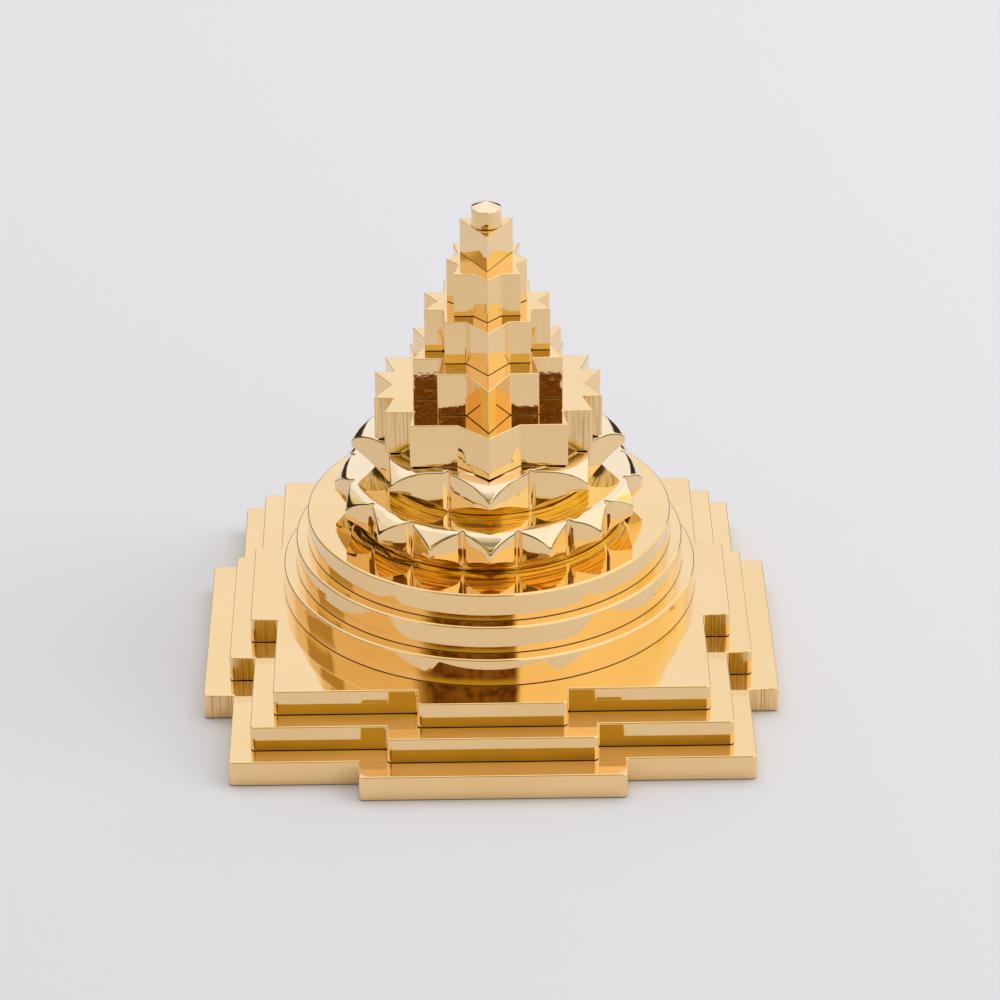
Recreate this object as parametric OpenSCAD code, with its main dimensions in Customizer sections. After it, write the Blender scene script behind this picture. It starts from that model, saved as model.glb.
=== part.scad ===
// Meru shri yantra: a stepped brass pyramid of square plates, rings, lotuses and stars.
// Every level is a separate piece, threaded on one tie rod and clamped between bindu and base nut.
// Millimetres. The origin is the middle of the underside, +Z is up and -Y is the front.

/* [Square plates] */
// Thickness of each square plate
plate_h = 3.5; // [3:0.1:5]
// Side of the lower plate, between its gates
lower_side = 67; // [60:0.5:80]
// Side of the middle plate, between its gates
middle_side = 61.5; // [56:0.5:74]
// Side of the upper plate, between its gates
upper_side = 55.7; // [50:0.1:68]
// Width of the gates of the lower plate
lower_gate_w = 34; // [20:0.5:44]
// Width of the gates of the middle plate
middle_gate_w = 26.8; // [16:0.1:36]
// Width of the gates of the upper plate
upper_gate_w = 19.1; // [12:0.1:28]
// How far the gates of the lower plate stand out
lower_gate_reach = 3.9; // [2:0.1:6]
// How far the gates of the middle plate stand out
middle_gate_reach = 3.3; // [2:0.1:6]
// How far the gates of the upper plate stand out
upper_gate_reach = 3.5; // [2:0.1:6]
// Radius of the upright corners of the plates
plate_corner_r = 0.6; // [0.2:0.1:1.4]

/* [Rings] */
// Height of each ring
ring_h = 3.8; // [2.5:0.1:5]
// Diameter of the lower ring
lower_ring_d = 54.2; // [48:0.1:60]
// Diameter of the middle ring
middle_ring_d = 50.8; // [46:0.1:58]
// Diameter of the upper ring
upper_ring_d = 47.6; // [43:0.1:56]
// Radius of the rounded top edge of each ring
ring_edge_r = 0.35; // [0.1:0.05:1]

/* [Lotuses] */
// Height of each lotus
lotus_h = 6; // [5:0.1:8]
// Diameter over the petal tips of the lotus of sixteen
sixteen_tip_d = 40.4; // [38:0.1:46]
// Diameter between the petals of the lotus of sixteen
sixteen_notch_d = 36.5; // [33:0.1:37.5]
// Diameter of the foot of the lotus of sixteen
sixteen_foot_d = 35.4; // [30:0.1:37]
// Depth of the hollow under the petals of the lotus of sixteen
sixteen_cove = 0.55; // [0.2:0.05:1.4]
// How far in from their tips the petals of the lotus of sixteen begin to fall
sixteen_fall_l = 2.1; // [1.5:0.1:3]
// How far the petals of the lotus of sixteen fall to their tips
sixteen_fall = 2.35; // [1:0.05:2.6]
// How far that fall bulges out from a straight slope
sixteen_bulge = 0.25; // [0.1:0.05:0.6]
// Thickness of the tips of the lotus of sixteen
sixteen_tip_t = 1.15; // [0.5:0.05:1.5]
// Diameter over the petal tips of the lotus of eight
eight_tip_d = 35.8; // [33:0.1:40]
// Diameter between the petals of the lotus of eight
eight_notch_d = 28; // [24:0.1:31]
// Diameter of the foot of the lotus of eight
eight_foot_d = 27.4; // [24:0.1:31]
// Depth of the hollow under the petals of the lotus of eight
eight_cove = 0.6; // [0.2:0.05:1.4]
// How far in from their tips the petals of the lotus of eight begin to fall
eight_fall_l = 4; // [3:0.1:5]
// How far the petals of the lotus of eight fall to their tips
eight_fall = 2.2; // [1:0.05:2.6]
// How far that fall bulges out from a straight slope
eight_bulge = 0.55; // [0.1:0.05:0.7]
// Thickness of the tips of the lotus of eight
eight_tip_t = 0.8; // [0.5:0.05:1.5]

/* [Stars] */
// Height of each star
star_h = 5.95; // [4:0.05:8]
// Reach of the front and back points of the star of fourteen
fourteen_reach = 15.4; // [14:0.1:18]
// Distance of its cross lines from the axis, front to middle
fourteen_lines = [11.65, 7.75, 3.7]; // [1:0.05:13]
// Half width at the notches on those lines
fourteen_notches = [4, 9.5, 12.1]; // [2:0.05:14]
// Half width at the points on those lines
fourteen_points = [10.1, 13.35, 14.7]; // [6:0.05:18]
// Half width at the waist of the star of fourteen
fourteen_waist = 12.4; // [10:0.1:14]
// Reach of the front and back points of the larger star of ten
ten_outer_reach = 14; // [11:0.1:15]
// Distance of its cross lines from the axis, front to middle
ten_outer_lines = [9, 4.5]; // [1:0.05:11]
// Half width at the notches on those lines
ten_outer_notches = [2.8, 5.8]; // [1:0.05:9]
// Half width at the points on those lines
ten_outer_points = [6.5, 9.65]; // [4:0.05:12]
// Half width at the waist of the larger star of ten
ten_outer_waist = 7.6; // [5:0.1:9]
// Reach of the front and back points of the smaller star of ten
ten_inner_reach = 9.6; // [8:0.1:12]
// Distance of its cross lines from the axis, front to middle
ten_inner_lines = [6.15, 2.5]; // [1:0.05:8]
// Half width at the notches on those lines
ten_inner_notches = [2.75, 5.6]; // [1:0.05:7]
// Half width at the points on those lines
ten_inner_points = [5.5, 8.1]; // [4:0.05:10]
// Half width at the waist of the smaller star of ten
ten_inner_waist = 6.35; // [4:0.05:8]
// Reach of the front and back points of the star of eight
eight_reach = 6.5; // [5.5:0.1:9]
// Distance of its cross lines and of its side notches from the axis
eight_lines = [4.6, 1.5]; // [0.5:0.05:5.2]
// Half width at the notches on those lines
eight_notches = [1.75, 3.65]; // [1.4:0.05:4.5]
// Half width at the points on its cross lines
eight_points = 4.3; // [3.8:0.1:6]
// Half width at its side points
eight_side = 5.2; // [4.7:0.1:7]

/* [Triangle and bindu] */
// Height of the triangle
triangle_h = 4.8; // [3:0.1:7]
// Width of the triangle along its back
triangle_w = 6.8; // [6.4:0.1:9]
// Length of the triangle from back to point
triangle_l = 5.95; // [5.6:0.05:8]
// Diameter of the bindu
bindu_d = 3.85; // [3.2:0.05:5]
// Height of the bindu's straight side
bindu_h = 2.45; // [2:0.05:4]
// Height of the bindu's conical top
bindu_top_h = 0.9; // [0.3:0.1:1.5]

/* [Tie rod] */
// Diameter of the tie rod
rod_d = 2; // [1.6:0.1:2.2]
// Gap round the rod in the levels
rod_gap = 0.1; // [0.05:0.05:0.2]
// Gap round the rod in the bindu and the nut
thread_gap = 0.03; // [0.01:0.01:0.05]
// Depth of the threaded hole in the bindu
bindu_hole_h = 2; // [1.4:0.1:2]
// Free end of the rod above and below its threads
rod_end_gap = 0.2; // [0.1:0.05:0.4]
// Diameter of the washer
washer_d = 6; // [4.8:0.1:8]
// Thickness of the washer
washer_h = 0.4; // [0.2:0.1:0.6]
// Width of the nut across its flats
nut_w = 4; // [3.6:0.1:4.6]
// Height of the nut
nut_h = 1.4; // [1:0.1:1.6]
// Gap round the washer in its recess
recess_gap = 0.5; // [0.2:0.1:1]

/* [Hidden] */
$fn = 96;

brass = [0.89, 0.71, 0.40];
dull_brass = [0.72, 0.55, 0.28];
steel = [0.62, 0.62, 0.63];

// Cuts run past the faces that they open
past = 1;

// Foot of each level
rings_z = 3 * plate_h;
lotuses_z = rings_z + 3 * ring_h;
stars_z = lotuses_z + 2 * lotus_h;
triangle_z = stars_z + 4 * star_h;
bindu_z = triangle_z + triangle_h;

// Recess under the lower plate, and the rod that runs from it into the bindu
hole_r = rod_d / 2 + rod_gap;
thread_r = rod_d / 2 + thread_gap;
recess_h = washer_h + nut_h + 2 * rod_end_gap;
recess_d = washer_d + 2 * recess_gap;
washer_z = recess_h - washer_h;
nut_z = washer_z - nut_h;
rod_z = nut_z - rod_end_gap;
rod_l = bindu_z + bindu_hole_h - rod_end_gap - rod_z;

// Centre of the largest circle in the triangle, measured from its back
triangle_side = norm([triangle_w / 2, triangle_l]);
triangle_back = triangle_w * triangle_l / (triangle_w + 2 * triangle_side);

// Rectangle about the origin with round corners
module rounded_rectangle(w, l, r) {
    square([w - 2 * r, l], center = true);
    square([w, l - 2 * r], center = true);
    for (x = [-1, 1], y = [-1, 1])
        translate([x * (w / 2 - r), y * (l / 2 - r)]) circle(r);
}

// Square plate with a gate standing out of each side
module square_plate(side, gate_w, gate_reach) {
    across = side + 2 * gate_reach;
    linear_extrude(plate_h)
        difference() {
            union() {
                rounded_rectangle(side, side, plate_corner_r);
                rounded_rectangle(gate_w, across, plate_corner_r);
                rounded_rectangle(across, gate_w, plate_corner_r);
            }
            circle(hole_r);
        }
}

// Round step with a rounded top edge
module ring(d) {
    r = d / 2;
    rotate_extrude()
        difference() {
            union() {
                square([r, ring_h - ring_edge_r]);
                square([r - ring_edge_r, ring_h]);
                translate([r - ring_edge_r, ring_h - ring_edge_r]) circle(ring_edge_r);
            }
            translate([0, -past]) square([hole_r, ring_h + 2 * past]);
        }
}

// Radius of the arc whose chord and height are given
function arc_r(chord, height) = (chord * chord / 4 + height * height) / (2 * height);

// Centre of the arc from one point to another that bulges to the right of its chord
function arc_centre(from, to, height) = let (
    chord = to - from,
    left = [-chord[1], chord[0]] / norm(chord)
) (from + to) / 2 + left * (arc_r(norm(chord), height) - height);

// Half section of a lotus: flat on top, falling in an arc to the tip, with a cove under the petals
module lotus_section(tip_r, foot_r, cove, fall_l, fall, bulge, tip_t) {
    foot = [foot_r, 0];
    rim = [tip_r - fall_l, lotus_h];
    tip_top = [tip_r, lotus_h - fall];
    tip_under = tip_top - [0, tip_t];
    difference() {
        union() {
            square(rim);
            translate(arc_centre(tip_top, rim, bulge)) circle(arc_r(norm(tip_top - rim), bulge));
        }
        translate(arc_centre(tip_under, foot, cove)) circle(arc_r(norm(tip_under - foot), cove));
        translate([0, -past]) square([hole_r, lotus_h + 2 * past]);
    }
}

// Plan of pointed petals, with one petal to the front
function petal_plan(petals, tip_r, notch_r) = [
    for (i = [0 : 2 * petals - 1])
        let (turn = i * 180 / petals - 90)
        (i % 2 == 0 ? tip_r : notch_r) * [cos(turn), sin(turn)]
];

module lotus(petals, tip_d, notch_d, foot_d, cove, fall_l, fall, bulge, tip_t) {
    intersection() {
        linear_extrude(lotus_h) polygon(petal_plan(petals, tip_d / 2, notch_d / 2));
        rotate_extrude() lotus_section(tip_d / 2, foot_d / 2, cove, fall_l, fall, bulge, tip_t);
    }
}

// Front right quarter of a star whose points lie on cross lines: front point, lines, waist
function star_quarter(reach, lines, notches, points, waist) = concat(
    [[0, -reach]],
    [for (i = [0 : len(lines) - 1]) each [[notches[i], -lines[i]], [points[i], -lines[i]]]],
    [[waist, 0]]
);

// Whole star from its front right quarter
function star_plan(quarter) = let (
    last = len(quarter) - 1,
    right = concat(quarter, [for (i = [last - 1 : -1 : 0]) [quarter[i][0], -quarter[i][1]]]),
    left = [for (i = [len(right) - 2 : -1 : 1]) [-right[i][0], right[i][1]]]
) concat(right, left);

module level(plan, h) {
    difference() {
        linear_extrude(h) polygon(plan);
        translate([0, 0, -past]) cylinder(r = hole_r, h = h + 2 * past);
    }
}

module square_plate_lower() {
    color(brass)
        difference() {
            square_plate(lower_side, lower_gate_w, lower_gate_reach);
            translate([0, 0, -past]) cylinder(d = recess_d, h = recess_h + past);
        }
}

module square_plate_middle() {
    color(brass)
        translate([0, 0, plate_h]) square_plate(middle_side, middle_gate_w, middle_gate_reach);
}

module square_plate_upper() {
    color(brass)
        translate([0, 0, 2 * plate_h]) square_plate(upper_side, upper_gate_w, upper_gate_reach);
}

module ring_lower() {
    color(brass) translate([0, 0, rings_z]) ring(lower_ring_d);
}

module ring_middle() {
    color(brass) translate([0, 0, rings_z + ring_h]) ring(middle_ring_d);
}

module ring_upper() {
    color(brass) translate([0, 0, rings_z + 2 * ring_h]) ring(upper_ring_d);
}

module lotus_sixteen() {
    color(brass)
        translate([0, 0, lotuses_z])
            lotus(
                16, sixteen_tip_d, sixteen_notch_d, sixteen_foot_d, sixteen_cove,
                sixteen_fall_l, sixteen_fall, sixteen_bulge, sixteen_tip_t
            );
}

module lotus_eight() {
    color(brass)
        translate([0, 0, lotuses_z + lotus_h])
            lotus(
                8, eight_tip_d, eight_notch_d, eight_foot_d, eight_cove,
                eight_fall_l, eight_fall, eight_bulge, eight_tip_t
            );
}

module star_fourteen() {
    quarter = star_quarter(fourteen_reach, fourteen_lines, fourteen_notches, fourteen_points, fourteen_waist);
    color(brass) translate([0, 0, stars_z]) level(star_plan(quarter), star_h);
}

module star_ten_outer() {
    quarter = star_quarter(
        ten_outer_reach, ten_outer_lines, ten_outer_notches, ten_outer_points, ten_outer_waist
    );
    color(brass) translate([0, 0, stars_z + star_h]) level(star_plan(quarter), star_h);
}

module star_ten_inner() {
    quarter = star_quarter(
        ten_inner_reach, ten_inner_lines, ten_inner_notches, ten_inner_points, ten_inner_waist
    );
    color(brass) translate([0, 0, stars_z + 2 * star_h]) level(star_plan(quarter), star_h);
}

// The side points of this star lie on its waist, between two notches
module star_eight() {
    quarter = [
        [0, -eight_reach],
        [eight_notches[0], -eight_lines[0]],
        [eight_points, -eight_lines[0]],
        [eight_notches[1], -eight_lines[1]],
        [eight_side, 0]
    ];
    color(brass) translate([0, 0, stars_z + 3 * star_h]) level(star_plan(quarter), star_h);
}

module triangle() {
    plan = [
        [-triangle_w / 2, triangle_back],
        [0, triangle_back - triangle_l],
        [triangle_w / 2, triangle_back]
    ];
    color(brass) translate([0, 0, triangle_z]) level(plan, triangle_h);
}

module bindu() {
    half_section = [
        [thread_r, 0],
        [bindu_d / 2, 0],
        [bindu_d / 2, bindu_h],
        [0, bindu_h + bindu_top_h],
        [0, bindu_hole_h],
        [thread_r, bindu_hole_h]
    ];
    color(brass) translate([0, 0, bindu_z]) rotate_extrude() polygon(half_section);
}

module tie_rod() {
    color(dull_brass) translate([0, 0, rod_z]) cylinder(d = rod_d, h = rod_l);
}

module base_washer() {
    color(steel)
        translate([0, 0, washer_z])
            difference() {
                cylinder(d = washer_d, h = washer_h);
                translate([0, 0, -past]) cylinder(r = hole_r, h = washer_h + 2 * past);
            }
}

module base_nut() {
    color(steel)
        translate([0, 0, nut_z])
            difference() {
                cylinder(d = nut_w / cos(30), h = nut_h, $fn = 6);
                translate([0, 0, -past]) cylinder(r = thread_r, h = nut_h + 2 * past);
            }
}

square_plate_lower();
square_plate_middle();
square_plate_upper();
ring_lower();
ring_middle();
ring_upper();
lotus_sixteen();
lotus_eight();
star_fourteen();
star_ten_outer();
star_ten_inner();
star_eight();
triangle();
bindu();
tie_rod();
base_washer();
base_nut();
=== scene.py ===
"""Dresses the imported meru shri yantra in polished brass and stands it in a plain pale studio."""
import math

import bmesh
import bpy
from mathutils import Matrix, Vector


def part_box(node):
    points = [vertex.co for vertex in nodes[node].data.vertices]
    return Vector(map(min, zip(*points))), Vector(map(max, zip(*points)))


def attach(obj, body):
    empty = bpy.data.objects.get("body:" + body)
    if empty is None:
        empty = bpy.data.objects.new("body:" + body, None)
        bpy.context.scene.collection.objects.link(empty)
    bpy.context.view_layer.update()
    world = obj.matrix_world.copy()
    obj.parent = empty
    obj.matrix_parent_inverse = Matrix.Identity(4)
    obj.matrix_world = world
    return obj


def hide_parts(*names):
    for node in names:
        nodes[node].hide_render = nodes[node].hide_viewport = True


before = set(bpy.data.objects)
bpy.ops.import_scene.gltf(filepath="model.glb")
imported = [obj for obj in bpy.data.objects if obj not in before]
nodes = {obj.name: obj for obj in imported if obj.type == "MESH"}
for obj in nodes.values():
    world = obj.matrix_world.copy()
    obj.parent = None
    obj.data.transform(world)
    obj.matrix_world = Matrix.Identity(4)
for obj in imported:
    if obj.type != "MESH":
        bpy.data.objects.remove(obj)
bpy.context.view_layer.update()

MM = 0.001

# Levels by family, from the table up
LOWER_PLATE, MIDDLE_PLATE, TOP_PLATE = "square_plate_lower", "square_plate_middle", "square_plate_upper"
RINGS = ["ring_lower", "ring_middle", "ring_upper"]
LOWER_STAR, OUTER_STAR = "star_fourteen", "star_ten_outer"
UPPER_STARS = ["star_ten_inner", "star_eight", "triangle"]

# Plan and section of each lotus, in mm; groove: depth filed into the notches between the petals
SIXTEEN = dict(
    petals=16, notch_r=18.25, foot_r=17.7, cove=0.55, fall_l=2.1, fall=2.35, bulge=0.25, tip_t=1.15,
    groove=0.38,
)
EIGHT = dict(
    petals=8, notch_r=14.0, foot_r=13.7, cove=0.6, fall_l=4.0, fall=2.2, bulge=0.55, tip_t=0.8,
    groove=0.28,
)

# Filing between the petals, in mm: where it starts before the notch, half the width of its bottom,
# and the points down its side as shares of the way
SHOULDER = 0.6
GROOVE_HALF_W = 0.1
GROOVE_SHARES = (0.12, 0.6)

# Rounding of the edges, in mm, and the steps that make it
PLATE_ROUND = 0.22
LOWER_PLATE_CORNER = 0.5
STAR_ROUND = 0.14
PETAL_ROUND = 0.2
PETAL_CHAMFER = 0.05
PETAL_RIM_SOFT = 0.45
RING_TOP_ROUND = 0.35
RING_FOOT_CHAMFER = 0.1
BINDU_ROUND = 0.15
BINDU_CHAMFER = 0.06
ROUND_STEPS = 3
CORNER_STEPS = 6
RING_ROUND_STEPS = 6
BINDU_ROUND_STEPS = 5

# A petal's tip is blunted by this share of its rounding
TIP_BLUNT = 0.3

# Edges that turn by more than SHARP are rounded over, after faces that turn by less than FLAT are joined
SHARP = math.radians(28)
FLAT = math.radians(0.5)

# Points nearer than WELD are one, and edges that rise by more than UPRIGHT_RISE are upright, in mm
WELD = 0.001
UPRIGHT_RISE = 1.0

# Rod hole through the levels, and the threaded hole in the bindu, in mm
HOLE_R = 1.1
THREAD_R = 1.03
THREAD_H = 2.0

# The bindu's cone and the small flat at its tip, in mm
BINDU_CONE_H = 0.9
BINDU_TIP_R, BINDU_TIP_DROP = 0.05, 0.02
CONE_STEPS = 8

# Facets round a turned piece
TURN_STEPS = 240

# Rows that divide a flat face or a side, as shares of its radius or height
MID_ROW, RING_TOP_ROW, RING_SIDE_ROW, BINDU_SIDE_ROW = 0.6, 0.8, 0.5, 0.4

# Steps along the sides of all a lotus's petals, and up their hollow, wall, rounded edge and top
SIDE_STEPS = 96
HOLLOW_STEPS, WALL_STEPS, EDGE_STEPS, TOP_STEPS = 12, 3, 5, 20

# How many steps of the rounded edge hold a painted dark reflection
DARK_LINE_STEPS = 2

# How far inside the rim and the grooves the steps of a petal's top end, in mm
TOP_INSET = 1.2

# Longest step inwards at a sharp corner of an outline, for sides that move in by one
MITRE_LIMIT = 1.5

# Weight of a face's size in its shading, at which flat faces stay flat
FLAT_WEIGHT = 100


class Graph:
    """Shorthand for building a node tree: each call adds a node and returns it or its output."""

    def __init__(self, tree):
        self.tree = tree
        tree.nodes.clear()

    def add(self, kind, inputs=None, **settings):
        node = self.tree.nodes.new(kind)
        for name, value in settings.items():
            setattr(node, name, value)
        for key, value in (inputs or {}).items():
            self.feed(node.inputs[key], value)
        return node

    def feed(self, socket, value):
        if isinstance(value, bpy.types.Node):
            value = value.outputs[0]
        if isinstance(value, bpy.types.NodeSocket):
            self.tree.links.new(value, socket)
        else:
            socket.default_value = value

    def math(self, operation, a, b=0.0, clamp=False):
        return self.add("ShaderNodeMath", {0: a, 1: b}, operation=operation, use_clamp=clamp)

    def size(self, value):
        """A value without its sign."""
        return self.math("ABSOLUTE", value)

    def smooth_min(self, a, b, blend):
        return self.add("ShaderNodeMath", {0: a, 1: b, 2: blend}, operation="SMOOTH_MIN")

    def product(self, *factors):
        total = factors[0]
        for factor in factors[1:]:
            total = self.math("MULTIPLY", total, factor)
        return total

    def total(self, *terms):
        total = terms[0]
        for term in terms[1:]:
            total = self.math("ADD", total, term)
        return total

    def ramp(self, value, low, high, to_low=0.0, to_high=1.0):
        """Smooth step of a value from low to high."""
        inputs = {"Value": value, "From Min": low, "From Max": high, "To Min": to_low, "To Max": to_high}
        return self.add("ShaderNodeMapRange", inputs, interpolation_type="SMOOTHSTEP")

    def split(self, vector):
        return self.add("ShaderNodeSeparateXYZ", {0: vector}).outputs

    def join(self, x, y, z):
        return self.add("ShaderNodeCombineXYZ", {0: x, 1: y, 2: z})

    def noise(self, place, scale, detail, roughness=0.5):
        inputs = {"Vector": place, "Scale": scale, "Detail": detail, "Roughness": roughness}
        return self.add("ShaderNodeTexNoise", inputs)

    def mix(self, factor, a, b):
        """Mix of two colours, each three numbers or the output of a node."""
        node = self.add("ShaderNodeMix", data_type="RGBA")
        for index, value in ((0, factor), (6, a), (7, b)):
            self.feed(node.inputs[index], (*value, 1) if isinstance(value, tuple) else value)
        return node.outputs[2]

    def place_mm(self):
        """Position on the object, in mm."""
        scaled = self.add("ShaderNodeVectorMath", operation="SCALE")
        self.feed(scaled.inputs[0], self.add("ShaderNodeTexCoord").outputs["Object"])
        scaled.inputs["Scale"].default_value = 1 / MM
        return scaled.outputs[0]

    def facing(self):
        """The flat normal's X, Y and Z."""
        return self.split(self.add("ShaderNodeNewGeometry").outputs["True Normal"])

    def painted(self, name):
        """A value that the mesh holds at its points."""
        return self.add("ShaderNodeAttribute", attribute_name=name).outputs["Fac"]


# Brass

BRASS = (0.967, 0.673, 0.33)
WORN_BRASS = (0.945, 0.645, 0.30)
# Paler tone painted on faces that look up, as a highlight
TOP_HIGHLIGHT_BRASS = (0.97, 0.79, 0.54)
TURNED_BRASS = (0.95, 0.61, 0.03)
STREAK = (0.26, 0.11, 0.02)
# Dark brown painted as shade into corners and seams, and as a dark reflection along the lotus's petal edges
PAINTED_DARK = (0.03, 0.013, 0.004)

# Patterns of the tool marks, which are drawn out along the way of the tool
END_MARKS, END_STRETCH = dict(scale=7.0, detail=4.0, roughness=0.65), 0.012
NECK_MARKS, NECK_STRETCH = dict(scale=5.5, detail=4.0, roughness=0.65), 0.25
TURNED_MARKS, TURNED_STRETCH = dict(scale=6.0, detail=3.0, roughness=0.6), 0.2

# Patterns all over the metal: hand polishing, its grain and short ripples; clouds and patches of tone;
# smears of the polish
WAVES = dict(scale=0.2, detail=1.0)
GRAIN = dict(scale=1.3, detail=2.0)
RIPPLES = dict(scale=0.9, detail=3.0)
CLOUDS = dict(scale=0.09, detail=3.0)
PATCHES = dict(scale=0.4, detail=2.0)
SMEARS = dict(scale=0.8, detail=4.0)

# From where a pattern starts to count to where it counts in full
MARK_SPAN = (0.47, 0.6)
CLOUD_SPAN = (0.35, 0.65)
PATCH_SPAN = (0.35, 0.6)
WIDE_SPAN = (0.3, 0.7)
EDGE_SPAN = (0.1, 0.7)

# How far a normal leans to an axis, from where its face starts to count to where it counts in full
SQUARE_ON = (0.9, 0.97)
LEVEL = (0.5, 0.9)
UPWARD = (0.2, 0.5)
UPRIGHT = (0.3, 0.1)

# Height of the grain in mm, least and most roughness of the polish, and what the painted shade in corners
# adds to it
GRAIN_H = 0.0006
POLISHED = (0.03, 0.065)
SHADE_ROUGH = 0.3

# Least share of the painted dark reflection that any stretch of an edge holds
LEAST_PATCH = 0.4

# Clear lacquer over the metal
LACQUER = {"Coat Weight": 0.8, "Coat Roughness": 0.03, "Coat IOR": 1.5}

# Rays that feel for a corner
CORNER_SAMPLES = 6

# A finish without tool marks, which each brass changes where it differs; lengths are in mm
PLAIN_FINISH = dict(
    waves=0.005,  # height of the waves that hand polishing leaves
    depth=0.0,  # depth of the tool marks
    streaks=0.0,  # how far the marks hold tarnish
    grain=0.0,  # roughness that the marks add
    raw=0.0,  # how far the metal with the marks is left unpolished
    crown=0.0,  # slope by which polishing has let the level tops fall to the front
    crown_blend=5.0,  # how far either side of the middle that fall sets in
    ripple=0.0,  # height of the short ripples on faces that look to the front or the back
    pale=0.0,  # how far faces that look up are painted paler, a painted highlight
    edges=0.0,  # how dark the painted reflection is along the edges that the mesh marks
    seams=(0.5, 0.54, 0.36),  # reach of the painted shade from a corner; openness where it starts and is full
)


def end_marks(g, place):
    """Milling marks up the faces that point along the side they stand on, as on a gate's ends."""
    x, y, z = g.split(place)
    nx, ny, _ = g.facing()
    on_side = g.math("GREATER_THAN", g.size(x), g.size(y))
    on_front = g.math("SUBTRACT", 1.0, on_side)
    faces_y = g.product(on_side, g.ramp(g.size(ny), *SQUARE_ON))
    faces_x = g.product(on_front, g.ramp(g.size(nx), *SQUARE_ON))
    where = g.math("ADD", faces_x, faces_y, clamp=True)
    marks = g.noise(g.join(x, y, g.product(z, END_STRETCH)), **END_MARKS)
    return where, marks


def neck_marks(g, place):
    """Turning marks round the neck and the hollow under the petals."""
    x, y, z = g.split(place)
    radius = g.math("SQRT", g.total(g.product(x, x), g.product(y, y)))
    turn = g.math("ARCTAN2", y, x)
    marks = g.noise(g.join(radius, z, g.product(turn, NECK_STRETCH)), **NECK_MARKS)
    return g.painted("neck"), marks


def turned_marks(g, place):
    """Fine turning marks round an upright side."""
    x, y, z = g.split(place)
    _, _, nz = g.facing()
    turn = g.math("ARCTAN2", y, x)
    where = g.ramp(g.size(nz), *UPRIGHT)
    marks = g.noise(g.join(0.0, z, g.product(turn, TURNED_STRETCH)), **TURNED_MARKS)
    return where, marks


def relief(g, place, where, marks, finish):
    """Height of the surface in mm: waves, grain, tool marks, the fall of the tops, and ripples."""
    _, y, _ = g.split(place)
    _, ny, nz = g.facing()
    return g.total(
        g.product(g.noise(place, **WAVES), finish["waves"]),
        g.product(g.noise(place, **GRAIN), GRAIN_H),
        g.product(marks, where, finish["depth"]),
        g.product(g.smooth_min(y, 0.0, finish["crown_blend"]), g.ramp(nz, *LEVEL), finish["crown"]),
        g.product(g.noise(place, **RIPPLES), g.ramp(g.size(ny), *SQUARE_ON), finish["ripple"]),
    )


def tint(g, place, where, marks, corner_shade, finish):
    """Colour of the metal: cloudy brass, dark in tool marks, paler where it looks up as a painted
    highlight, dark along marked edges as a painted reflection, and dark in corners as painted shade.
    """
    _, _, nz = g.facing()
    lines = g.product(g.ramp(marks, *MARK_SPAN), where, finish["streaks"])
    patchy = g.ramp(g.noise(place, **PATCHES), *PATCH_SPAN, LEAST_PATCH, 1.0)
    # A dark line painted along the edges that the mesh marks, as a dark reflection
    edges = g.product(g.ramp(g.painted("edge"), *EDGE_SPAN), patchy, finish["edges"])
    tone = g.mix(g.ramp(g.noise(place, **CLOUDS), *CLOUD_SPAN), BRASS, WORN_BRASS)
    # Faces that look up are painted paler, as a highlight
    tone = g.mix(g.product(g.ramp(nz, *UPWARD), finish["pale"]), tone, TOP_HIGHLIGHT_BRASS)
    tone = g.mix(g.product(where, finish["raw"]), tone, TURNED_BRASS)
    tone = g.mix(lines, tone, STREAK)
    tone = g.mix(edges, tone, PAINTED_DARK)
    # Painted shade: dark brown where ambient occlusion finds a corner or seam
    return g.mix(corner_shade, tone, PAINTED_DARK)


def brass(name, marked, **own):
    """Polished and lacquered brass, with painted shade in its corners.

    marked: gives where the tool marks are and their pattern. own: where it differs from PLAIN_FINISH.
    """
    finish = {**PLAIN_FINISH, **own}
    material = bpy.data.materials.new(name)
    material.use_nodes = True
    g = Graph(material.node_tree)
    place = g.place_mm()
    where, marks = marked(g, place)
    height = relief(g, place, where, marks, finish)
    bump = g.add("ShaderNodeBump", {"Strength": 1.0, "Distance": MM, "Height": height})
    reach, starts, full = finish["seams"]
    # Ambient occlusion finds corners and seams, where shade is painted in and the roughness raised
    corner = g.add(
        "ShaderNodeAmbientOcclusion", {"Distance": reach * MM}, samples=CORNER_SAMPLES, only_local=False,
    )
    corner_shade = g.ramp(corner.outputs["AO"], starts, full)
    rough = g.total(
        g.ramp(g.noise(place, **SMEARS), *WIDE_SPAN, *POLISHED),
        g.product(where, finish["grain"]),
        g.product(corner_shade, SHADE_ROUGH),
    )
    tone = tint(g, place, where, marks, corner_shade, finish)
    shader = g.add("ShaderNodeBsdfPrincipled", {
        "Base Color": tone, "Metallic": 1.0, "Roughness": rough, "Normal": bump, **LACQUER,
    })
    g.add("ShaderNodeOutputMaterial", {"Surface": shader})
    return material


# Gate ends keep deep marks, and the upper stars only a trace; the rings are polished clean
MILLED = dict(depth=0.006, streaks=0.6, grain=0.12, waves=0.008)
FINE_MILLED = dict(depth=0.001, streaks=0.05, grain=0.02, crown=0.12)

plate_brass = brass("plate_brass", end_marks, **MILLED, crown=0.085, crown_blend=20.0)
top_plate_brass = brass("top_plate_brass", end_marks, **MILLED)
lower_star_brass = brass(
    "lower_star_brass", end_marks, depth=0.006, streaks=0.5, grain=0.1, ripple=0.02, seams=(0.3, 0.5, 0.34),
)
outer_star_brass = brass("outer_star_brass", end_marks, **FINE_MILLED, ripple=0.045)
upper_star_brass = brass("upper_star_brass", end_marks, **FINE_MILLED, ripple=0.01)
ring_brass = brass("ring_brass", turned_marks, waves=0.014)
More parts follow.
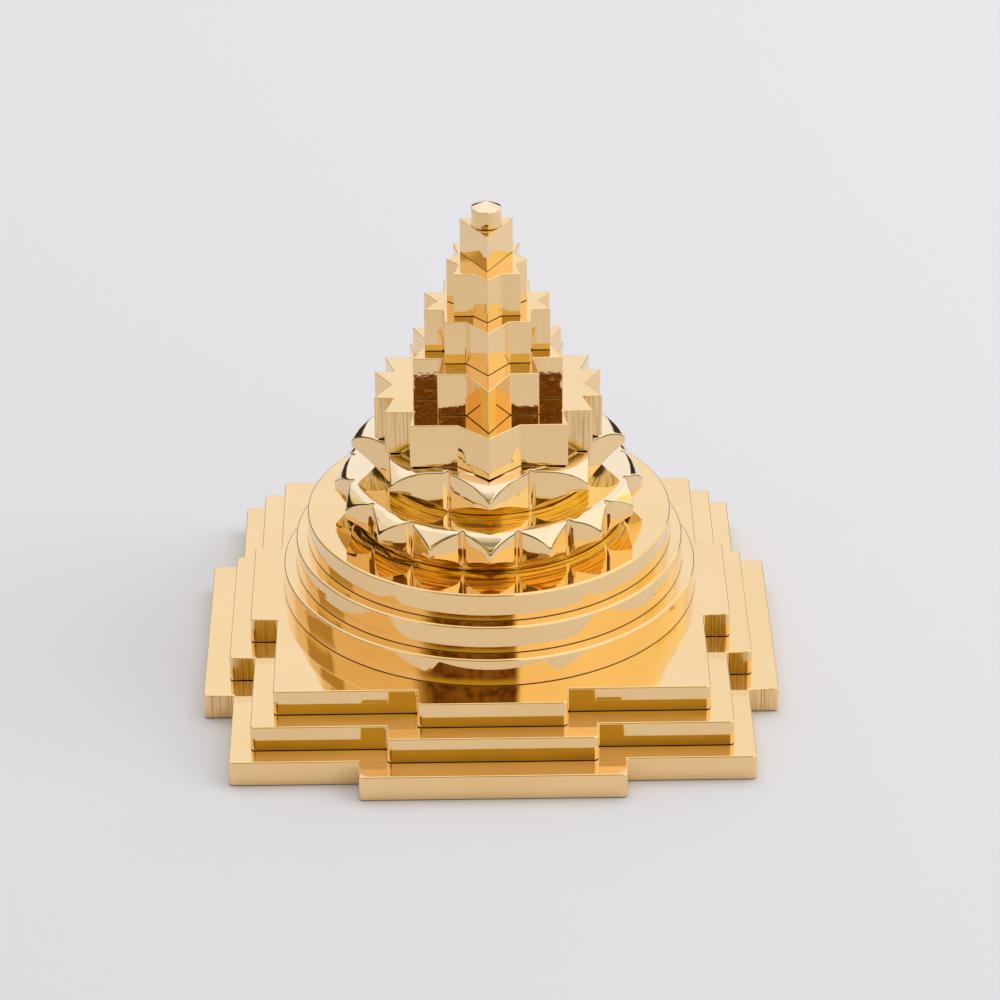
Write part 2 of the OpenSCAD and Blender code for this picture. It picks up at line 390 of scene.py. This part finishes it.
# The lotus gets a painted highlight on faces that look up, a painted dark reflection along its petal edges
# and painted shade in its corners
lotus_brass = brass(
    "lotus_brass", neck_marks, depth=0.003, streaks=0.9, grain=0.1, waves=0.006, raw=0.9, pale=0.9,
    edges=0.9, seams=(0.15, 0.4, 0.2),
)
# The bindu gets a painted highlight on faces that look up
bindu_brass = brass(
    "bindu_brass", turned_marks, depth=0.003, streaks=0.12, grain=0.04, waves=0.003, pale=0.9,
)


# Fasteners

METAL_GRAIN, GRAIN_STRETCH = dict(detail=4.0, roughness=0.6), 0.1
METAL_CLOUDS = dict(scale=0.7, detail=4.0)

# Depth of the grain in mm, and the roughness that it adds
GRAIN_DEPTH = 0.01
GRAIN_ROUGH = 0.12


def plain_metal(name, light, dark, rough, grain_scale):
    """Unpolished metal: drawn or plated, with a fine grain and cloudy patches."""
    material = bpy.data.materials.new(name)
    material.use_nodes = True
    g = Graph(material.node_tree)
    place = g.place_mm()
    x, y, z = g.split(place)
    grain = g.noise(g.join(x, y, g.product(z, GRAIN_STRETCH)), grain_scale, **METAL_GRAIN)
    cloud = g.ramp(g.noise(place, **METAL_CLOUDS), *CLOUD_SPAN)
    height = g.product(grain, GRAIN_DEPTH)
    bump = g.add("ShaderNodeBump", {"Strength": 1.0, "Distance": MM, "Height": height})
    shader = g.add("ShaderNodeBsdfPrincipled", {
        "Base Color": g.mix(cloud, light, dark), "Metallic": 1.0, "Normal": bump,
        "Roughness": g.ramp(grain, *WIDE_SPAN, rough, rough + GRAIN_ROUGH),
    })
    g.add("ShaderNodeOutputMaterial", {"Surface": shader})
    return material


drawn_brass = plain_metal(
    "drawn_brass", light=(0.72, 0.55, 0.28), dark=(0.55, 0.38, 0.16), rough=0.28, grain_scale=6.0,
)
zinc_steel = plain_metal(
    "zinc_steel", light=(0.62, 0.62, 0.63), dark=(0.52, 0.52, 0.50), rough=0.3, grain_scale=9.0,
)


# Pieces


def piece(bm, node, material):
    """Makes the finished piece that stands for a CAD node from its mesh."""
    name = node + "_polished"
    mesh = bpy.data.meshes.new(name)
    bmesh.ops.recalc_face_normals(bm, faces=bm.faces)
    bm.to_mesh(mesh)
    bm.free()
    mesh.polygons.foreach_set("use_smooth", [True] * len(mesh.polygons))
    mesh.materials.append(material)
    obj = bpy.data.objects.new(name, mesh)
    bpy.context.scene.collection.objects.link(obj)
    shading = obj.modifiers.new("flat faces stay flat", "WEIGHTED_NORMAL")
    shading.weight = FLAT_WEIGHT
    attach(obj, "root")
    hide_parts(node)


def sharp_edges(bm):
    return [e for e in bm.edges if e.is_manifold and e.calc_face_angle() > SHARP]


def round_over(bm, edges, size, steps):
    bmesh.ops.bevel(
        bm, geom=edges, offset=size * MM, offset_type="OFFSET", segments=steps,
        profile=0.5, affect="EDGES", clamp_overlap=True,
    )


def rounded_copy(node, size, material, corner=0.0):
    """The CAD node's own shape, with its edges rounded over as polishing leaves them.

    corner: a larger radius in mm for the upright edges that stand out.
    """
    bm = bmesh.new()
    bm.from_mesh(nodes[node].data)
    bmesh.ops.remove_doubles(bm, verts=bm.verts, dist=WELD * MM)
    bmesh.ops.dissolve_limit(bm, angle_limit=FLAT, verts=bm.verts, edges=bm.edges)
    if corner:
        rises = [(e, abs(e.verts[0].co.z - e.verts[1].co.z)) for e in sharp_edges(bm) if e.is_convex]
        round_over(bm, [e for e, rise in rises if rise > UPRIGHT_RISE * MM], corner, CORNER_STEPS)
    round_over(bm, sharp_edges(bm), size, ROUND_STEPS)
    piece(bm, node, material)


def strip(bm, rows):
    """Joins each closed row of vertices to the next with quads."""
    for lower, upper in zip(rows, rows[1:]):
        count = len(lower)
        for i in range(count):
            j = (i + 1) % count
            bm.faces.new((lower[i], lower[j], upper[j], upper[i]))


def arc(centre, radius, start, end, steps):
    """Points in the half plane (radius, height), from one angle in degrees to another."""
    angles = [math.radians(start + (end - start) * i / steps) for i in range(steps + 1)]
    return [(centre[0] + radius * math.cos(a), centre[1] + radius * math.sin(a)) for a in angles]


def turned_rows(bm, section):
    """Rows of vertices round the axis, one for each point (radius, height) of a section in mm."""
    turns = [2 * math.pi * i / TURN_STEPS for i in range(TURN_STEPS)]
    return [
        [bm.verts.new((s * math.cos(a) * MM, s * math.sin(a) * MM, h * MM)) for a in turns]
        for s, h in section
    ]


def ring(node):
    """A turned step, with a rounded top edge and a small chamfer at its foot."""
    low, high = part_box(node)
    r, foot, top = high.x / MM, low.z / MM, high.z / MM
    section = [(HOLE_R, foot), (r * MID_ROW, foot)]
    section += [(r - RING_FOOT_CHAMFER, foot), (r, foot + RING_FOOT_CHAMFER)]
    section += [(r, foot + (top - foot) * RING_SIDE_ROW)]
    section += arc((r - RING_TOP_ROUND, top - RING_TOP_ROUND), RING_TOP_ROUND, 0, 90, RING_ROUND_STEPS)
    section += [(r * RING_TOP_ROW, top), (HOLE_R, top)]
    bm = bmesh.new()
    rows = turned_rows(bm, section)
    strip(bm, rows + rows[:1])
    piece(bm, node, ring_brass)


def bindu(node):
    """The turned peg at the peak, with a rounded rim, a shallow cone and a threaded hole below."""
    low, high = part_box(node)
    r, foot, peak = high.x / MM, low.z / MM, high.z / MM
    rim = peak - BINDU_CONE_H
    slope = math.degrees(math.atan2(BINDU_CONE_H, r))
    section = [(THREAD_R, foot + THREAD_H), (THREAD_R, foot)]
    section += [(r - BINDU_CHAMFER, foot), (r, foot + BINDU_CHAMFER)]
    section += [(r, foot + (rim - foot) * BINDU_SIDE_ROW)]
    centre = (r - BINDU_ROUND, rim - BINDU_ROUND * math.tan(math.radians(45 - slope / 2)))
    section += arc(centre, BINDU_ROUND, 0, 90 - slope, BINDU_ROUND_STEPS)
    start, tip = Vector(section[-1]), Vector((BINDU_TIP_R, peak - BINDU_TIP_DROP))
    section += [tuple(start.lerp(tip, i / CONE_STEPS)) for i in range(1, CONE_STEPS + 1)]
    bm = bmesh.new()
    rows = turned_rows(bm, section)
    strip(bm, rows)
    bm.faces.new(rows[0])
    bm.faces.new(rows[-1])
    piece(bm, node, bindu_brass)


def arc_through(start, end, height):
    """Centre and radius of the arc that bulges by a height to the right of the way from start to end."""
    chord = end - start
    radius = (chord.length_squared / 4 + height ** 2) / (2 * height)
    left = Vector((-chord.y, chord.x)).normalized()
    return (start + end) / 2 + left * (radius - height), radius


def petal_plan(petals, tip_r, notch_r, groove):
    """Outline of all the petals: straight sides to a shoulder, then a groove filed between the petals."""
    steps = SIDE_STEPS // petals
    turn = Matrix.Rotation(math.pi / petals, 2)
    tip, notch = Vector((0, -tip_r)), turn @ Vector((0, -notch_r))
    along = (notch - tip).normalized()
    shoulder = notch - along * SHOULDER
    bottom = turn @ Vector((-GROOVE_HALF_W, groove - notch_r))
    side = tip + along * PETAL_ROUND
    half = [tip + Vector((0, TIP_BLUNT * PETAL_ROUND))]
    half += [side.lerp(shoulder, i / steps) for i in range(steps + 1)]
    half += [shoulder.lerp(bottom, share) for share in GROOVE_SHARES] + [bottom]
    petal = [Vector((-p.x, p.y)) for p in half[:0:-1]] + half
    return [Matrix.Rotation(2 * math.pi * k / petals, 2) @ p for k in range(petals) for p in petal]


def insets(plan):
    """At each point of an outline, the step inwards that moves both its sides in by one."""
    steps = []
    for before, point, after in zip(plan[-1:] + plan, plan, plan[1:] + plan[:1]):
        a, b = (point - before).normalized(), (after - point).normalized()
        step = Vector((-a.y - b.y, a.x + b.x)) / (1 + a.dot(b))
        if step.dot(point) > 0:
            step.negate()
        steps.append(step if step.length < MITRE_LIMIT else step.normalized() * MITRE_LIMIT)
    return steps


def painted_rows(bm, columns):
    """Rows of vertices across columns of points, each a place, a height, and its neck and edge values."""
    neck, edge = bm.verts.layers.float.new("neck"), bm.verts.layers.float.new("edge")
    rows = []
    for points in zip(*columns):
        row = []
        for place, height, on_neck, on_edge in points:
            vert = bm.verts.new((place.x * MM, place.y * MM, height * MM))
            vert[neck], vert[edge] = on_neck, on_edge
            row.append(vert)
        rows.append(row)
    return rows


def lotus(node, petals, notch_r, foot_r, cove, fall_l, fall, bulge, tip_t, groove):
    """A lotus: straight-walled petals, falling in an arc to their tips and hollowed below."""
    low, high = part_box(node)
    foot_z, top_z, tip_r = low.z / MM, high.z / MM, high.y / MM
    rim = Vector((tip_r - fall_l, top_z))
    tip_top = Vector((tip_r, top_z - fall))
    tip_under = tip_top - Vector((0, tip_t))
    fall_c, fall_r = arc_through(tip_top, rim, bulge)
    cove_c, cove_r = arc_through(tip_under, Vector((foot_r, foot_z)), cove)
    inner_r = min(rim.x, notch_r - groove) - TOP_INSET

    def top_at(r):
        """Height of the top: the flat and the arc, blended where they meet."""
        if r < fall_c.x:
            return top_z
        slope = fall_c.y + math.sqrt(max(0.0, fall_r ** 2 - (r - fall_c.x) ** 2))
        near_rim = max(0.0, 1 - abs(slope - top_z) / PETAL_RIM_SOFT)
        return min(top_z, slope) - PETAL_RIM_SOFT / 4 * near_rim ** 2

    def under_at(r):
        return cove_c.y + math.sqrt(max(0.0, cove_r ** 2 - (r - cove_c.x) ** 2))

    def hollow(p):
        """Points from the foot of the neck out to a point of the petals' lower edge."""
        for i in range(HOLLOW_STEPS + 1):
            share = math.sin(i / HOLLOW_STEPS * math.pi / 2)
            q = p.normalized() * (foot_r + (p.length - foot_r) * share)
            yield q, max(under_at(q.length), foot_z + PETAL_CHAMFER), 1.0, 0.0

    def rounded_edge(p, step):
        """Points over the rounded upper edge of the petals."""
        for i in range(1, EDGE_STEPS + 1):
            a = math.radians(90 * i / EDGE_STEPS)
            q = p + step * PETAL_ROUND * (1 - math.cos(a))
            height = top_at(q.length) - PETAL_ROUND * (1 - math.sin(a))
            # The first steps of the rounded edge carry the painted dark reflection
            yield q, height, 0.0, 1.0 if i <= DARK_LINE_STEPS else 0.0

    def column(p, step):
        """Points up one line of the plan, from the hole under the lotus round to the hole on top."""
        out = p.normalized()
        below = (HOLE_R, foot_r * MID_ROW, foot_r - PETAL_CHAMFER)
        points = [(out * s, foot_z, 0.0, 0.0) for s in below]
        points += hollow(p + step * PETAL_CHAMFER)
        low_z, high_z = under_at(p.length) + PETAL_CHAMFER, top_at(p.length) - PETAL_ROUND
        wall = [low_z + (high_z - low_z) * i / WALL_STEPS for i in range(WALL_STEPS + 1)]
        points += [(p, height, 0.0, 0.0) for height in wall]
        points += rounded_edge(p, step)
        edge_end = points[-1][0]
        top = [edge_end.lerp(out * inner_r, i / TOP_STEPS) for i in range(1, TOP_STEPS + 1)]
        points += [(q, top_at(q.length), 0.0, 0.0) for q in top]
        return points + [(out * foot_r * MID_ROW, top_z, 0.0, 0.0), (out * HOLE_R, top_z, 0.0, 0.0)]

    plan = petal_plan(petals, tip_r, notch_r, groove)
    bm = bmesh.new()
    rows = painted_rows(bm, [column(p, step) for p, step in zip(plan, insets(plan))])
    strip(bm, rows + rows[:1])
    piece(bm, node, lotus_brass)


def dress(node, material):
    """Gives a CAD node that stays as it is its material."""
    nodes[node].data.materials.clear()
    nodes[node].data.materials.append(material)


rounded_copy(LOWER_PLATE, PLATE_ROUND, plate_brass, LOWER_PLATE_CORNER)
rounded_copy(MIDDLE_PLATE, PLATE_ROUND, plate_brass)
rounded_copy(TOP_PLATE, PLATE_ROUND, top_plate_brass)
for name in RINGS:
    ring(name)
lotus("lotus_sixteen", **SIXTEEN)
lotus("lotus_eight", **EIGHT)
rounded_copy(LOWER_STAR, STAR_ROUND, lower_star_brass)
rounded_copy(OUTER_STAR, STAR_ROUND, outer_star_brass)
for name in UPPER_STARS:
    rounded_copy(name, STAR_ROUND, upper_star_brass)
bindu("bindu")
dress("tie_rod", drawn_brass)
dress("base_washer", zinc_steel)
dress("base_nut", zinc_steel)


# Studio

# Tones that the brass mirrors: walls round the object, low down and higher up, and zones on them
LEFT_LOW, LEFT_HIGH = (0.82, 0.77, 0.58), (0.86, 0.84, 0.80)
FRONT_LOW, FRONT_HIGH = (0.80, 0.74, 0.32), (0.68, 0.65, 0.60)
RIGHT_LOW, RIGHT_HIGH = (1.04, 1.09, 0.88), (1.06, 1.06, 1.03)
BACK_WALL = (0.955, 0.98, 1.02)
LEFT_GAP = (0.46, 0.36, 0.13)
LEFT_FOOT, RIGHT_FOOT = (0.74, 0.67, 0.30), (1.0, 0.93, 0.40)
SILL = (0.05, 0.03, 0.015)
CAMERA_SIDE, CAMERA_HIGH = (0.49, 0.43, 0.08), (0.34, 0.29, 0.22)
CAMERA_DARK, CAMERA_BROWN = (0.09, 0.042, 0.008), (0.23, 0.13, 0.034)
CEILING = (1.04, 1.05, 1.08)

# Light on the paper
FILL_LIGHT = (0.52, 0.52, 0.52)
LAMP_COLOUR = (0.98, 0.98, 1.05)

# Edges of the walls and zones in degrees, from where each starts to where it is full.
# A turn runs from the front to the right, a rise up from the level, and a reach out from a middle.
FRONT_TURN, RIGHT_TURN, HIGH_RISE = (-43, -38), (13, 18), (31, 36)
CAMERA_LEFT, CAMERA_RIGHT = (-46, -32), (16.5, 12.5)
CAMERA_SIDE_FOOT, CAMERA_SIDE_TOP = (16, 19), (42, 40)
CAMERA_HIGH_FOOT, CAMERA_HIGH_TOP = (43, 46), (64, 54)
CAMERA_DARK_RISE, CAMERA_DARK_REACH = 29, (7, 4.5)
GAP_TURN, GAP_REACH = -112, (15, 11)
GAP_FOOT, GAP_TOP = (26.5, 28.5), (36, 31)
FOOT_TURN, FOOT_REACH, FOOT_TOP = 116, (14, 10), (30, 27.5)
BACK_TURN = (138, 146)
LEFT_SILL_TURN, LEFT_SILL_REACH, LEFT_SILL_TOP = -100, (45, 40), (18, 14)
BACK_SILL_TURN, BACK_SILL_TOP = (134, 140), (16, 12)
CEILING_TURN, CEILING_RISE, OVERHEAD_RISE = (88, 94), (46, 52), (66, 82)

# Mottling of the dark where the camera stands
MOTTLE, MOTTLE_SPAN = dict(scale=14.0, detail=3.0, roughness=0.6), (0.38, 0.62)

# The sheet of paper, in m
PAPER, PAPER_ROUGH, PAPER_HALF_W = (0.82, 0.81, 0.81), 0.8, 3

# Lamps, in m and by the brightness of their faces
OVERHEAD = dict(place=(0, 0.5, 1.0), aim=(0, 0.5, 0), size=(1.6, 0.9), radiance=1.2)
RIGHT_FILL = dict(place=(0.6, -0.05, 0.5), aim=(0.2, 0, 0), size=(0.5, 0.5), radiance=2.0)

# The camera, solved from the square plates and the tips of the levels: degrees, mm and pixels
AZIMUTH, ELEVATION, ROLL = -0.574, 28.73, -0.442
DISTANCE, TARGET = 579.44, (1.467, -0.893, 23.095)
FOCAL_PX, IMAGE_PX, SENSOR_W = 4425.8, 1000, 36

# Nearest and farthest that it sees, in m
CLIP = (0.01, 20)


def floor():
    """A plain sheet of pale paper."""
    material = bpy.data.materials.new("floor_paper")
    material.use_nodes = True
    g = Graph(material.node_tree)
    shader = g.add("ShaderNodeBsdfPrincipled", {"Base Color": (*PAPER, 1), "Roughness": PAPER_ROUGH})
    g.add("ShaderNodeOutputMaterial", {"Surface": shader})
    bm = bmesh.new()
    bmesh.ops.create_grid(bm, x_segments=1, y_segments=1, size=PAPER_HALF_W)
    mesh = bpy.data.meshes.new("floor")
    bm.to_mesh(mesh)
    bm.free()
    mesh.materials.append(material)
    obj = bpy.data.objects.new("floor", mesh)
    bpy.context.scene.collection.objects.link(obj)


def softbox(name, place, aim, size, radiance):
    """A rectangular lamp of even brightness, which neither the camera nor the metal shows."""
    lamp = bpy.data.lights.new(name, "AREA")
    lamp.shape = "RECTANGLE"
    lamp.size, lamp.size_y = size
    lamp.energy = radiance * math.pi * size[0] * size[1]
    lamp.color = LAMP_COLOUR
    obj = bpy.data.objects.new(name, lamp)
    obj.location = place
    obj.rotation_euler = (Vector(aim) - Vector(place)).to_track_quat("-Z", "Y").to_euler()
    obj.visible_camera = False
    obj.visible_glossy = False
    bpy.context.scene.collection.objects.link(obj)


def between(g, angle, start, end):
    """One between two edges of a zone, and nothing outside them."""
    return g.product(g.ramp(angle, *start), g.ramp(angle, *end))


def near(g, angle, middle, reach):
    """One round a middle angle, and nothing beyond its reach."""
    return g.ramp(g.size(g.math("SUBTRACT", angle, middle)), *reach)


def side_walls(g, turn, rise, right):
    """The walls on the left, in front and on the right, each low down and higher up."""
    front = g.ramp(turn, *FRONT_TURN)
    low = g.mix(right, g.mix(front, LEFT_LOW, FRONT_LOW), RIGHT_LOW)
    high = g.mix(right, g.mix(front, LEFT_HIGH, FRONT_HIGH), RIGHT_HIGH)
    return g.mix(g.ramp(rise, *HIGH_RISE), low, high)


def camera_zone(g, tone, turn, rise, towards):
    """Darkens the wall where the camera stands, and beside and above it."""
    at_camera = between(g, turn, CAMERA_LEFT, CAMERA_RIGHT)
    beside = g.product(at_camera, between(g, rise, CAMERA_SIDE_FOOT, CAMERA_SIDE_TOP))
    tone = g.mix(beside, tone, CAMERA_SIDE)
    above = g.product(at_camera, between(g, rise, CAMERA_HIGH_FOOT, CAMERA_HIGH_TOP))
    tone = g.mix(above, tone, CAMERA_HIGH)
    mottle = g.ramp(g.noise(towards, **MOTTLE), *MOTTLE_SPAN)
    dark = g.mix(mottle, CAMERA_DARK, CAMERA_BROWN)
    return g.mix(g.product(at_camera, near(g, rise, CAMERA_DARK_RISE, CAMERA_DARK_REACH)), tone, dark)


def panels(g, tone, turn, rise, right):
    """Adds the gap on the left, the feet of the side walls, the back wall, the sills and the ceiling."""
    aside = g.size(turn)
    gap = g.product(near(g, turn, GAP_TURN, GAP_REACH), between(g, rise, GAP_FOOT, GAP_TOP))
    tone = g.mix(gap, tone, LEFT_GAP)
    at_foot = g.product(near(g, aside, FOOT_TURN, FOOT_REACH), g.ramp(rise, *FOOT_TOP))
    tone = g.mix(at_foot, tone, g.mix(right, LEFT_FOOT, RIGHT_FOOT))
    tone = g.mix(g.ramp(aside, *BACK_TURN), tone, BACK_WALL)
    left_sill = g.product(near(g, turn, LEFT_SILL_TURN, LEFT_SILL_REACH), g.ramp(rise, *LEFT_SILL_TOP))
    tone = g.mix(left_sill, tone, SILL)
    back_sill = g.product(g.ramp(aside, *BACK_SILL_TURN), g.ramp(rise, *BACK_SILL_TOP))
    tone = g.mix(back_sill, tone, SILL)
    behind = g.product(g.ramp(aside, *CEILING_TURN), g.ramp(rise, *CEILING_RISE))
    return g.mix(g.math("MAXIMUM", behind, g.ramp(rise, *OVERHEAD_RISE)), tone, CEILING)


def surround():
    """The studio round the object: bright behind and at the sides, dark where the camera stands."""
    world = bpy.data.worlds.new("studio")
    bpy.context.scene.world = world
    world.use_nodes = True
    g = Graph(world.node_tree)
    towards = g.add("ShaderNodeTexCoord").outputs["Generated"]
    x, y, z = g.split(towards)
    turn = g.math("DEGREES", g.math("ARCTAN2", x, g.product(y, -1.0)))
    rise = g.math("DEGREES", g.math("ARCSINE", z))
    right = g.ramp(turn, *RIGHT_TURN)
    tone = side_walls(g, turn, rise, right)
    tone = camera_zone(g, tone, turn, rise, towards)
    tone = panels(g, tone, turn, rise, right)
    path = g.add("ShaderNodeLightPath").outputs
    shown = g.math("MAXIMUM", path["Is Camera Ray"], path["Is Glossy Ray"])
    shown = g.math("MAXIMUM", shown, path["Is Transmission Ray"])
    colour = g.mix(shown, FILL_LIGHT, tone)
    g.add("ShaderNodeOutputWorld", {"Surface": g.add("ShaderNodeBackground", {"Color": colour})})


def camera():
    """The photograph's own view."""
    azimuth, elevation, roll = (math.radians(a) for a in (AZIMUTH, ELEVATION, ROLL))
    distance, target = DISTANCE * MM, Vector(TARGET) * MM
    flat = math.cos(elevation)
    back = Vector((math.sin(azimuth) * flat, -math.cos(azimuth) * flat, math.sin(elevation)))
    right = Vector((math.cos(azimuth), math.sin(azimuth), 0))
    up = back.cross(right)
    turned_right = math.cos(roll) * right + math.sin(roll) * up
    turned_up = math.cos(roll) * up - math.sin(roll) * right
    data = bpy.data.cameras.new("camera")
    data.sensor_width = SENSOR_W
    data.lens = FOCAL_PX / IMAGE_PX * SENSOR_W
    data.clip_start, data.clip_end = CLIP
    obj = bpy.data.objects.new("camera", data)
    turn = Matrix((turned_right, turned_up, back)).transposed().to_4x4()
    obj.matrix_world = Matrix.Translation(target + back * distance) @ turn
    bpy.context.scene.collection.objects.link(obj)
    bpy.context.scene.camera = obj


floor()
surround()
softbox("overhead", **OVERHEAD)
softbox("right_fill", **RIGHT_FILL)
camera()

view = bpy.context.scene.view_settings
view.view_transform = "Standard"
